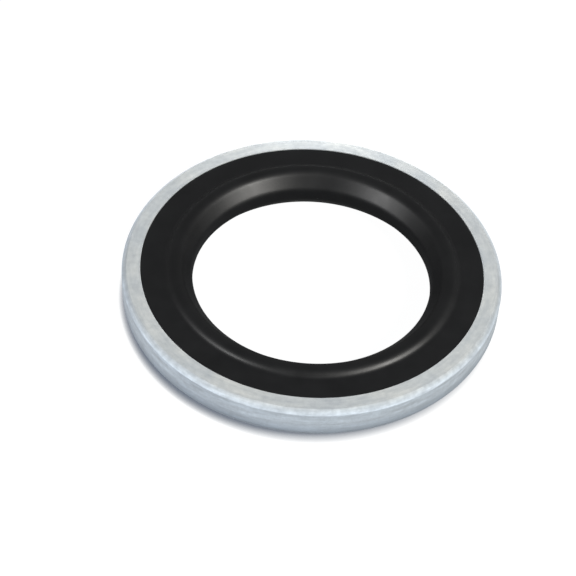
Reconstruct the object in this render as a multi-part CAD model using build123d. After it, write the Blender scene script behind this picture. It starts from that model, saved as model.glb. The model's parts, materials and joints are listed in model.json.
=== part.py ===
from build123d import *
from math import cos, radians, sin
import os

# Bonded sealing washer for a banjo bolt. A flat steel ring takes the load of the bolt.
# A rubber ring is moulded into its bore, with a round bead beside the hole that stands
# proud of the steel and seals against the faces above and below.
# Millimetres. +Z runs along the bolt, and z = 0 is the lowest circle of the rubber,
# which is what the washer lies on.

# The hole for the bolt
bolt_diameter = 12.0
bolt_clearance = 0.3
bore_land = 0.7

# The rubber ring
rubber_width = 2.73
bead_inset = 0.95
flank_angle = 51.0
bead_fall = 0.47
bead_proud = 0.18
web_recess = 0.05

# The steel ring
steel_thickness = 2.0
steel_width = 0.97
rolled_edge = 0.6
sheared_edge = 0.25

# Radii, from the hole outwards
bore_radius = bolt_diameter / 2 + bolt_clearance
crest_radius = bore_radius + bead_inset
foot_radius = crest_radius + bead_fall
joint_radius = bore_radius + rubber_width
outer_radius = joint_radius + steel_width

# Heights from the middle plane of the washer
land_end = bore_land / 2
steel_face = steel_thickness / 2
web_face = steel_face - web_recess
crest_height = steel_face + bead_proud

# The bead's radius lets its straight inner flank meet the land at the flank angle
flank_sin = sin(radians(flank_angle))
flank_cos = cos(radians(flank_angle))
bead_radius = (bead_inset * flank_sin - (crest_height - land_end) * flank_cos) / (1 - flank_cos)


def turned(outline):
    """Turn a closed outline about Z, and stand the ring on z = 0."""
    return Pos(0, 0, crest_height) * revolve(Plane.XZ * make_face(outline), Axis.Z)


def steel_ring():
    """A punched ring: the upper outside edge rolled over, the lower one sheared and broken."""
    inside_and_base = Polyline(
        (outer_radius - rolled_edge, steel_face),
        (joint_radius, steel_face),
        (joint_radius, -steel_face),
        (outer_radius - sheared_edge, -steel_face),
        (outer_radius, sheared_edge - steel_face),
        (outer_radius, steel_face - rolled_edge),
    )
    roll_centre = (outer_radius - rolled_edge, steel_face - rolled_edge)
    return turned(inside_and_base + CenterArc(roll_centre, rolled_edge, 0, 90))


def rubber_seal():
    """One moulding: a straight land at the hole, a round bead, and a thin web out to the steel."""
    crest = (crest_radius, crest_height)
    bead_inside = JernArc(crest, (-1, 0), bead_radius, flank_angle)
    hole_side = Polyline(bead_inside @ 1, (bore_radius, land_end), (bore_radius, 0))
    bead_outside = TangentArc(crest, (foot_radius, web_face), tangent=(1, 0))
    web = Polyline((foot_radius, web_face), (joint_radius, web_face), (joint_radius, 0))
    upper_half = hole_side + bead_inside + bead_outside + web
    return turned(upper_half + mirror(upper_half, Plane.XZ))


parts = {"steel_ring": steel_ring(), "rubber_seal": rubber_seal()}
os.makedirs("parts", exist_ok=True)
for name, solid in parts.items():
    export_step(solid, f"parts/{name}.step")
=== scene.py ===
"""Banjo washer: a zinc-plated steel ring with a black rubber seal moulded into its bore."""

import json
import math

import bmesh
import bpy
from mathutils import Matrix, Vector


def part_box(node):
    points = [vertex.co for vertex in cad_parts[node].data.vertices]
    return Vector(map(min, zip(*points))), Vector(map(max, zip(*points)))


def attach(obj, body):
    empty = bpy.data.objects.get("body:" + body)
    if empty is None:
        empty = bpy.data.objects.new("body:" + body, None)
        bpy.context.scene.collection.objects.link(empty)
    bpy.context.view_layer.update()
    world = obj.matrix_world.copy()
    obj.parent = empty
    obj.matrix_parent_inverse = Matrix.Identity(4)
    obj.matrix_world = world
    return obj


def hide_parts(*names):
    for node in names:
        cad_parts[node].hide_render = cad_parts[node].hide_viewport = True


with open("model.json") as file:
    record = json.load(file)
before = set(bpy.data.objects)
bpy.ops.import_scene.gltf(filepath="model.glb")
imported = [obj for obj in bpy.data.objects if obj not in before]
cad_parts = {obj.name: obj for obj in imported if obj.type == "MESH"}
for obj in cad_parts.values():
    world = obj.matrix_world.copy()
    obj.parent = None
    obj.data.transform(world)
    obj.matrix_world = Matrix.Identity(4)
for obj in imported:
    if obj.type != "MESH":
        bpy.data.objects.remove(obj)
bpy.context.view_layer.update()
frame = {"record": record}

MM = 0.001

# Sizes taken from the frame
mounts = {mount["name"]: mount for mount in frame["record"]["mounts"]}
_, steel_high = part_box("steel_ring")
rubber_low, rubber_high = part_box("rubber_seal")

outer_radius = steel_high.x
joint_radius = rubber_high.x
bore_radius = mounts["bolt_bore"]["dims"]["r_mm"] * MM
land_end = mounts["bolt_bore"]["dims"]["length_mm"] * MM / 2
middle_height = (rubber_low.z + rubber_high.z) / 2
crest_height = rubber_high.z - middle_height
steel_face = steel_high.z - middle_height

# Sizes of the sections that the frame doesn't hold
bead_inset = 0.95 * MM
flank_angle = math.radians(51)
web_recess = 0.05 * MM
rolled_edge = 0.6 * MM
sheared_edge = 0.25 * MM

crest_radius = bore_radius + bead_inset
web_face = steel_face - web_recess

# The bead's outer side: a level shoulder beside the crest, then a fall to the web
bead_shoulder = 0.26 * MM
bead_rounding = 0.5 * MM
fall_angle = math.radians(44)

# How far the remaining corners are rounded
land_rounding = 0.6 * MM
web_end_rounding = 0.02 * MM
bond_corner_rounding = 0.03 * MM
bevel_rounding = 0.08 * MM

steps_round = 360
weld_distance = 1e-7


def rounded(corners, arc_step=math.radians(5), flat_step=0.12 * MM):
    """A closed outline through (radius, height, rounding) corners, with each corner rounded off."""
    outline = []
    count = len(corners)
    for i, (x, y, rounding) in enumerate(corners):
        corner = Vector((x, y))
        before = (Vector(corners[i - 1][:2]) - corner).normalized()
        after = (Vector(corners[(i + 1) % count][:2]) - corner).normalized()
        half = before.angle(after) / 2
        reach = rounding / math.tan(half)
        start, end = corner + before * reach, corner + after * reach
        centre = corner + (before + after).normalized() * (rounding / math.sin(half))
        turn = math.pi - 2 * half
        steps = max(2, math.ceil(turn / arc_step))
        for k in range(steps + 1):
            spoke = (start - centre).slerp(end - centre, k / steps)
            outline.append(centre + spoke * rounding)
    dense = []
    for here, there in zip(outline, outline[1:] + outline[:1]):
        pieces = max(1, math.ceil((there - here).length / flat_step))
        dense += [here.lerp(there, k / pieces) for k in range(pieces)]
    return dense


def rubber_outline():
    """The seal's section: a straight land, the round bead with its flank, and the thin web."""
    drop = crest_height - land_end
    # This rounding meets the land's end at the flank's angle, as the solid's arc does
    flank_rounding = (bead_inset * math.sin(flank_angle) - drop * math.cos(flank_angle)) / (
        1 - math.cos(flank_angle)
    )
    inner_corner = crest_radius - flank_rounding * math.tan(flank_angle / 2)
    # The two roundings of the fall share its whole length, so no flat is left between them
    fall = crest_height - web_face
    both_roundings = fall / (math.tan(fall_angle / 2) * math.sin(fall_angle))
    outer_corner = crest_radius + bead_shoulder
    foot_corner = outer_corner + fall / math.tan(fall_angle)
    upper = [
        (bore_radius, land_end, land_rounding),
        (inner_corner, crest_height, flank_rounding),
        (outer_corner, crest_height, bead_rounding),
        (foot_corner, web_face, both_roundings - bead_rounding),
        (joint_radius, web_face, web_end_rounding),
    ]
    lower = [(x, -y, rounding) for x, y, rounding in reversed(upper)]
    return rounded(upper + lower)


def steel_outline():
    """The ring's section: square at the rubber, rolled over above and bevelled below outside."""
    return rounded(
        [
            (joint_radius, steel_face, bond_corner_rounding),
            (outer_radius, steel_face, rolled_edge),
            (outer_radius, sheared_edge - steel_face, bevel_rounding),
            (outer_radius - sheared_edge, -steel_face, bevel_rounding),
            (joint_radius, -steel_face, bond_corner_rounding),
        ]
    )


def add(tree, kind, settings=None, inputs=None):
    """Adds a node; an input given as a socket is linked, and any other value is set."""
    made = tree.nodes.new(kind)
    for name, value in (settings or {}).items():
        setattr(made, name, value)
    for name, value in (inputs or {}).items():
        socket = made.inputs[name]
        if isinstance(value, bpy.types.NodeSocket):
            tree.links.new(value, socket)
        else:
            socket.default_value = value
    return made


def turned_ring_tree():
    """Sweeps a section round a circle that lies flat in the frame."""
    tree = bpy.data.node_groups.new("turned_ring", "GeometryNodeTree")
    face = tree.interface
    face.new_socket("Section", in_out="INPUT", socket_type="NodeSocketGeometry")
    face.new_socket("Middle radius", in_out="INPUT", socket_type="NodeSocketFloat")
    face.new_socket("Height", in_out="INPUT", socket_type="NodeSocketFloat")
    face.new_socket("Steps round", in_out="INPUT", socket_type="NodeSocketInt")
    face.new_socket("Finish", in_out="INPUT", socket_type="NodeSocketMaterial")
    face.new_socket("Ring", in_out="OUTPUT", socket_type="NodeSocketGeometry")
    given = add(tree, "NodeGroupInput").outputs
    section = add(tree, "GeometryNodeMeshToCurve", inputs={"Mesh": given["Section"]})
    path = add(
        tree,
        "GeometryNodeCurvePrimitiveCircle",
        inputs={"Radius": given["Middle radius"], "Resolution": given["Steps round"]},
    )
    swept = add(
        tree,
        "GeometryNodeCurveToMesh",
        inputs={"Curve": path.outputs["Curve"], "Profile Curve": section.outputs["Curve"]},
    )
    height = add(tree, "ShaderNodeCombineXYZ", inputs={"Z": given["Height"]})
    lifted = add(
        tree,
        "GeometryNodeTransform",
        inputs={"Geometry": swept.outputs["Mesh"], "Translation": height.outputs["Vector"]},
    )
    smooth = add(
        tree, "GeometryNodeSetShadeSmooth", inputs={"Geometry": lifted.outputs["Geometry"]}
    )
    real = add(
        tree, "GeometryNodeRealizeInstances", inputs={"Geometry": smooth.outputs["Geometry"]}
    )
    finished = add(
        tree,
        "GeometryNodeSetMaterial",
        inputs={"Geometry": real.outputs["Geometry"], "Material": given["Finish"]},
    )
    add(tree, "NodeGroupOutput", inputs={"Ring": finished.outputs["Geometry"]})
    return tree


def turned_ring(name, outline, ring_tree, finish):
    """The plain mesh of a section swept round the washer's axis."""
    radii = [point.x for point in outline]
    middle_radius = (min(radii) + max(radii)) / 2
    mesh = bpy.data.meshes.new(name + "_section")
    points = [(point.x - middle_radius, point.y, 0) for point in outline]
    edges = [(i, (i + 1) % len(points)) for i in range(len(points))]
    mesh.from_pydata(points, edges, [])
    section = bpy.data.objects.new(name + "_section", mesh)
    bpy.context.scene.collection.objects.link(section)

    modifier = section.modifiers.new("turned_ring", "NODES")
    modifier.node_group = ring_tree
    values = {
        "Middle radius": middle_radius,
        "Height": middle_height,
        "Steps round": steps_round,
        "Finish": finish,
    }
    for item in ring_tree.interface.items_tree:
        if item.item_type == "SOCKET" and item.name in values:
            modifier[item.identifier] = values[item.name]

    depsgraph = bpy.context.evaluated_depsgraph_get()
    made = bpy.data.meshes.new_from_object(section.evaluated_get(depsgraph))
    bpy.data.objects.remove(section)
    made.name = name
    shell = bmesh.new()
    shell.from_mesh(made)
    bmesh.ops.remove_doubles(shell, verts=shell.verts, dist=weld_distance)
    bmesh.ops.recalc_face_normals(shell, faces=shell.faces)
    shell.to_mesh(made)
    shell.free()
    made.shade_smooth()
    ring = bpy.data.objects.new(name, made)
    bpy.context.scene.collection.objects.link(ring)
    return ring


# A Mix node of colours takes its share at input 0 and its two colours at inputs 6 and 7,
# and gives the mixture at output 2
OF_COLOURS = {"data_type": "RGBA"}
SHARE, FIRST, SECOND, MIXED = 0, 6, 7, 2


def linear(hex_value):
    """An sRGB hex colour as linear red, green, blue and alpha."""
    channels = [int(hex_value[i : i + 2], 16) / 255 for i in (1, 3, 5)]
    return (*[c / 12.92 if c <= 0.04045 else ((c + 0.055) / 1.055) ** 2.4 for c in channels], 1.0)


def per_metre(size_mm):
    """The scale at which a pattern's features are this many millimetres wide."""
    return 1 / (size_mm * MM)


def new_material(name):
    """A material with an empty node tree."""
    material = bpy.data.materials.new(name)
    material.use_nodes = True
    material.node_tree.nodes.clear()
    return material


def across_from_axis(tree, place):
    """The level vector from the washer's axis to a place."""
    return add(
        tree,
        "ShaderNodeVectorMath",
        {"operation": "MULTIPLY"},
        {0: place, 1: (1.0, 1.0, 0.0)},
    ).outputs["Vector"]


def distance_from_axis(tree, place):
    """How far a place is from the washer's axis."""
    return add(
        tree, "ShaderNodeVectorMath", {"operation": "LENGTH"}, {0: across_from_axis(tree, place)}
    ).outputs["Value"]


def along_the_ring(tree, place, radius, height):
    """Coordinates for streaks that are narrow across the ring's section and long round the ring."""
    streaks_per_radian = 6.5
    streak_width_mm = 0.24
    spoke = add(
        tree, "ShaderNodeVectorMath", {"operation": "NORMALIZE"}, {0: across_from_axis(tree, place)}
    ).outputs["Vector"]
    slow = add(
        tree,
        "ShaderNodeVectorMath",
        {"operation": "SCALE"},
        {0: spoke, "Scale": streaks_per_radian},
    ).outputs["Vector"]
    across = add(
        tree, "ShaderNodeMath", {"operation": "SUBTRACT"}, {0: radius, 1: height}
    ).outputs["Value"]
    quick = add(
        tree,
        "ShaderNodeMath",
        {"operation": "MULTIPLY"},
        {0: across, 1: per_metre(streak_width_mm)},
    ).outputs["Value"]
    lengthwise = add(tree, "ShaderNodeCombineXYZ", inputs={"Z": quick}).outputs["Vector"]
    return add(
        tree, "ShaderNodeVectorMath", {"operation": "ADD"}, {0: slow, 1: lengthwise}
    ).outputs["Vector"]


def zinc_plated_steel():
    """The steel ring's finish."""
    # Mild steel, punched and tumbled, then barrel plated with zinc and given a clear
    # blue passivate: a satin grey-white metal, a little bluer in some places than others.
    material = new_material("zinc_plated_steel")
    tree = material.node_tree
    place = add(tree, "ShaderNodeTexCoord").outputs["Object"]
    radius = distance_from_axis(tree, place)
    height = add(tree, "ShaderNodeSeparateXYZ", inputs={"Vector": place}).outputs["Z"]

    # Faint streaks along the ring, from the strip's rolling and the punch
    streaks = add(
        tree,
        "ShaderNodeTexNoise",
        inputs={
            "Vector": along_the_ring(tree, place, radius, height),
            "Scale": 1.0,
            "Detail": 3.0,
            "Roughness": 0.6,
        },
    ).outputs["Fac"]
    # The passivate's cast of colour, and the mottle that tumbling leaves
    cast = add(
        tree,
        "ShaderNodeTexNoise",
        inputs={"Vector": place, "Scale": per_metre(2.5), "Detail": 3.0, "Roughness": 0.55},
    ).outputs["Fac"]
    mottle = add(
        tree,
        "ShaderNodeTexNoise",
        inputs={"Vector": place, "Scale": per_metre(0.35), "Detail": 4.0, "Roughness": 0.6},
    ).outputs["Fac"]
    # The plate's crystals are about 0.01 mm, too fine to show, and are drawn at 0.06 mm
    grain = add(
        tree,
        "ShaderNodeTexNoise",
        inputs={"Vector": place, "Scale": per_metre(0.06), "Detail": 2.0, "Roughness": 0.5},
    ).outputs["Fac"]

    cast_share = add(
        tree, "ShaderNodeMapRange", inputs={"Value": cast, "From Min": 0.35, "From Max": 0.65}
    ).outputs["Result"]
    plate = add(
        tree,
        "ShaderNodeMix",
        OF_COLOURS,
        {SHARE: cast_share, FIRST: linear("#CED0CF"), SECOND: linear("#C5C9CB")},
    ).outputs[MIXED]
    # Painted reflection: the outer wall and the outer part of the roll are painted lighter and
    # bluer than the flat face
    wall_reflection_share = add(
        tree,
        "ShaderNodeMapRange",
        inputs={
            "Value": radius,
            "From Min": outer_radius - 0.3 * MM,
            "From Max": outer_radius - 0.01 * MM,
            "To Max": 0.85,
        },
    ).outputs["Result"]
    # Painted reflection and shade: the wall is painted bright near its top, and duller and darker
    # towards its bottom
    towards_wall_bottom = add(
        tree,
        "ShaderNodeMapRange",
        inputs={
            "Value": height,
            "From Min": middle_height + 0.15 * MM,
            "From Max": middle_height - 0.5 * MM,
        },
    ).outputs["Result"]
    wall_foot_shade_share = add(
        tree, "ShaderNodeMath", {"operation": "MULTIPLY"}, {0: towards_wall_bottom, 1: wall_reflection_share}
    ).outputs["Value"]
    mottle_share = add(
        tree,
        "ShaderNodeMapRange",
        inputs={"Value": mottle, "From Min": 0.35, "From Max": 0.75, "To Max": 0.3},
    ).outputs["Result"]
    streak_share = add(
        tree,
        "ShaderNodeMapRange",
        inputs={"Value": streaks, "From Min": 0.35, "From Max": 0.7, "To Max": 0.42},
    ).outputs["Result"]
    # Painted reflection on the wall and painted shade at its bottom, then the plate's own mottle
    # and streaks
    for share, colour in (
        (wall_reflection_share, "#DEE7F0"),
        (wall_foot_shade_share, "#AEB9C5"),
        (mottle_share, "#ABB0B4"),
        (streak_share, "#A7ADB3"),
    ):
        plate = add(
            tree,
            "ShaderNodeMix",
            OF_COLOURS,
            {SHARE: share, FIRST: plate, SECOND: linear(colour)},
        ).outputs[MIXED]

    roughness = add(
        tree,
        "ShaderNodeMapRange",
        inputs={"Value": mottle, "From Min": 0.3, "From Max": 0.7, "To Min": 0.82, "To Max": 0.92},
    ).outputs["Result"]
    dents = add(
        tree,
        "ShaderNodeBump",
        inputs={"Strength": 0.6, "Distance": 0.02 * MM, "Height": mottle},
    ).outputs["Normal"]
    bumps = add(
        tree,
        "ShaderNodeBump",
        inputs={"Strength": 0.5, "Distance": 0.004 * MM, "Height": grain, "Normal": dents},
    ).outputs["Normal"]
    shader = add(
        tree,
        "ShaderNodeBsdfPrincipled",
        inputs={"Base Color": plate, "Metallic": 1.0, "Roughness": roughness, "Normal": bumps},
    )
    add(tree, "ShaderNodeOutputMaterial", inputs={"Surface": shader.outputs["BSDF"]})
    return material


def black_rubber():
    """The seal's finish."""
    # Nitrile rubber, compression moulded in a polished tool: near black, smooth and half
    # glossy, with a fine grain and a faint grey bloom.
    material = new_material("black_rubber")
    tree = material.node_tree
    place = add(tree, "ShaderNodeTexCoord").outputs["Object"]
    bloom = add(
        tree,
        "ShaderNodeTexNoise",
        inputs={"Vector": place, "Scale": per_metre(1.8), "Detail": 4.0, "Roughness": 0.6},
    ).outputs["Fac"]
    # The tool's grain is about 0.02 mm, too fine to show, and is drawn at 0.09 mm
    grain = add(
        tree,
        "ShaderNodeTexNoise",
        inputs={"Vector": place, "Scale": per_metre(0.09), "Detail": 3.0, "Roughness": 0.6},
    ).outputs["Fac"]
    bloom_share = add(
        tree, "ShaderNodeMapRange", inputs={"Value": bloom, "From Min": 0.35, "From Max": 0.7}
    ).outputs["Result"]
    colour = add(
        tree,
        "ShaderNodeMix",
        OF_COLOURS,
        {SHARE: bloom_share, FIRST: linear("#08090B"), SECOND: linear("#0F1012")},
    ).outputs[MIXED]
    roughness = add(
        tree,
        "ShaderNodeMapRange",
        inputs={"Value": bloom, "From Min": 0.3, "From Max": 0.7, "To Min": 0.4, "To Max": 0.48},
    ).outputs["Result"]
    bumps = add(
        tree,
        "ShaderNodeBump",
        inputs={"Strength": 0.5, "Distance": 0.006 * MM, "Height": grain},
    ).outputs["Normal"]
    shader = add(
        tree,
        "ShaderNodeBsdfPrincipled",
        inputs={
            "Base Color": colour,
            "Roughness": roughness,
            "IOR": 1.52,
            "Specular IOR Level": 0.4,
            "Normal": bumps,
        },
    )
    add(tree, "ShaderNodeOutputMaterial", inputs={"Surface": shader.outputs["BSDF"]})
    return material


swept_ring = turned_ring_tree()
steel = turned_ring("zinc_plated_ring", steel_outline(), swept_ring, zinc_plated_steel())
rubber = turned_ring("moulded_seal", rubber_outline(), swept_ring, black_rubber())
for piece, node, slot in (
    (steel, "steel_ring", "zinc_plated_steel"),
    (rubber, "rubber_seal", "black_rubber"),
):
    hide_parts(node)
    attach(piece, "root")


def white_to_the_eye(tree, lit, colour, to_camera, to_gloss):
    """Adds brightness to a lit shader, for rays from the camera and from shiny surfaces."""
    rays = add(tree, "ShaderNodeLightPath").outputs
    seen = add(
        tree,
        "ShaderNodeMath",
        {"operation": "MAXIMUM"},
        {0: rays["Is Camera Ray"], 1: rays["Is Transmission Ray"]},
    ).outputs["Value"]
    direct = add(
        tree, "ShaderNodeMath", {"operation": "MULTIPLY"}, {0: seen, 1: to_camera}
    ).outputs["Value"]
    strength = add(
        tree,
        "ShaderNodeMath",
        {"operation": "MULTIPLY_ADD"},
        {0: rays["Is Glossy Ray"], 1: to_gloss, 2: direct},
    ).outputs["Value"]
    glow = add(
        tree, "ShaderNodeEmission", inputs={"Color": colour, "Strength": strength}
    ).outputs["Emission"]
    return add(tree, "ShaderNodeAddShader", inputs={0: lit, 1: glow}).outputs["Shader"]


def white_floor():
    """A white card under the washer, with a painted contact shadow: a thin dark line where the two
    meet.
    """
    material = new_material("white_card")
    tree = material.node_tree
    # The card itself is grey, to throw little light up at the washer
    lit = add(tree, "ShaderNodeBsdfDiffuse", inputs={"Color": linear("#606264")}).outputs["BSDF"]

    # Openness is measured towards the right, so the painted shadow line is widest at the washer's
    # left
    to_the_right = add(tree, "ShaderNodeCombineXYZ", inputs={"X": 1.5, "Y": 0.3, "Z": 1.0})
    openness = add(
        tree,
        "ShaderNodeAmbientOcclusion",
        {"samples": 16},
        {"Distance": 0.55 * MM, "Normal": to_the_right.outputs["Vector"]},
    ).outputs["AO"]
    open_share = add(
        tree, "ShaderNodeMapRange", inputs={"Value": openness, "From Min": 0.45, "From Max": 0.95}
    ).outputs["Result"]
    # The painted shadow line stays out of the hole
    place = add(tree, "ShaderNodeTexCoord").outputs["Object"]
    in_hole = add(
        tree,
        "ShaderNodeMapRange",
        inputs={
            "Value": distance_from_axis(tree, place),
            "From Min": crest_radius,
            "From Max": joint_radius,
            "To Min": 1.0,
            "To Max": 0.0,
        },
    ).outputs["Result"]
    shadow_free_share = add(
        tree, "ShaderNodeMath", {"operation": "MAXIMUM"}, {0: open_share, 1: in_hole}
    ).outputs["Value"]
    # Painted contact shadow: the card's glow turns dark blue-grey where the card is little open
    colour = add(
        tree,
        "ShaderNodeMix",
        OF_COLOURS,
        {SHARE: shadow_free_share, FIRST: linear("#3A4A60"), SECOND: linear("#FFFFFF")},
    ).outputs[MIXED]
    surface = white_to_the_eye(tree, lit, colour, to_camera=0.95, to_gloss=0.06)
    add(tree, "ShaderNodeOutputMaterial", inputs={"Surface": surface})

    half_side = 2.0
    mesh = bpy.data.meshes.new("floor")
    corners = [
        (-half_side, -half_side, 0),
        (half_side, -half_side, 0),
        (half_side, half_side, 0),
        (-half_side, half_side, 0),
    ]
    mesh.from_pydata(corners, [], [(0, 1, 2, 3)])
    mesh.materials.append(material)
    floor = bpy.data.objects.new("floor", mesh)
    bpy.context.scene.collection.objects.link(floor)


def soft_lamp(name, towards, angle, radiance, colour, only=(), distance=0.15):
    """A round lamp that the washer sees at this angle across, as bright as the radiance says.

    With only, it lights those pieces and nothing else.
    """
    direction = Vector(towards).normalized()
    size = 2 * distance * math.tan(math.radians(angle) / 2)
    area = math.pi * size * size / 4
    lamp = bpy.data.lights.new(name, "AREA")
    lamp.shape = "DISK"
    lamp.size = size
    lamp.energy = radiance * math.pi * area
    lamp.color = linear(colour)[:3]
    holder = bpy.data.objects.new(name, lamp)
    holder.location = direction * distance
    holder.rotation_mode = "QUATERNION"
    holder.rotation_quaternion = direction.to_track_quat("Z", "Y")
    bpy.context.scene.collection.objects.link(holder)
    if only:
        reached = bpy.data.collections.new(name + "_reaches")
        for piece in only:
            reached.objects.link(piece)
        holder.light_linking.receiver_collection = reached


def white_room(light, in_metal, seen):
    """A plain white surrounding: its light, and how bright metal and the camera see it."""
    world = bpy.data.worlds.new("white_room")
    world.use_nodes = True
    tree = world.node_tree
    tree.nodes.clear()
    rays = add(tree, "ShaderNodeLightPath").outputs
    unseen = add(
        tree,
        "ShaderNodeMapRange",
        inputs={"Value": rays["Is Glossy Ray"], "To Min": light, "To Max": in_metal},
    ).outputs["Result"]
    strength = add(
        tree,
        "ShaderNodeMapRange",
        inputs={"Value": rays["Is Camera Ray"], "To Min": unseen, "To Max": seen},
    ).outputs["Result"]
    surface = add(
        tree,
        "ShaderNodeBackground",
        inputs={"Color": linear("#FFFFFF"), "Strength": strength},
    )
    add(tree, "ShaderNodeOutputWorld", inputs={"Surface": surface.outputs["Background"]})
    bpy.context.scene.world = world


white_floor()
white_room(light=0.12, in_metal=0.26, seen=1.0)

# The lamps at the right and the left draw the four highlights on the bead
soft_lamp("key_lamp", (0.694, -0.385, 0.609), 20, 36.0, "#FFFDF8")
soft_lamp("fill_lamp", (-0.711, -0.479, 0.515), 20, 20.0, "#FFFFFF")

# The others keep off the black rubber: one lights the steel's wall from the front, and
# two light its back rim, from far behind and from close above
soft_lamp("front_lamp", (-0.692, -0.692, 0.208), 50, 2.2, "#FFFFFF", [steel])
soft_lamp("rim_lamp", (0.000, 0.993, 0.122), 14, 55.0, "#FFFFFF", [steel])
soft_lamp("near_rim_lamp", (0.000, 0.800, 0.600), 50, 1.4, "#FFFFFF", [steel], 12.5 * MM)


def product_camera(distance, elevation, lens, aim, roll):
    """A camera in front of the washer, aimed at a point beside its middle and turned a little."""
    camera = bpy.data.cameras.new("camera")
    camera.lens = lens
    camera.sensor_width = 36.0
    camera.clip_start, camera.clip_end = 0.005, 10.0
    middle = Vector((0, 0, middle_height))
    place = middle + Vector((0, -math.cos(elevation), math.sin(elevation))) * distance
    sight = middle + Vector((*aim, 0)) - place
    holder = bpy.data.objects.new("camera", camera)
    turn = sight.to_track_quat("-Z", "Y").to_matrix().to_4x4()
    holder.matrix_world = Matrix.Translation(place) @ turn @ Matrix.Rotation(roll, 4, "Z")
    bpy.context.scene.collection.objects.link(holder)
    bpy.context.scene.camera = holder


product_camera(
    distance=93.0 * MM,
    elevation=math.radians(46.46),
    lens=109.7,
    aim=(-1.19 * MM, -0.86 * MM),
    roll=math.radians(3.74),
)
bpy.context.scene.view_settings.view_transform = "Standard"
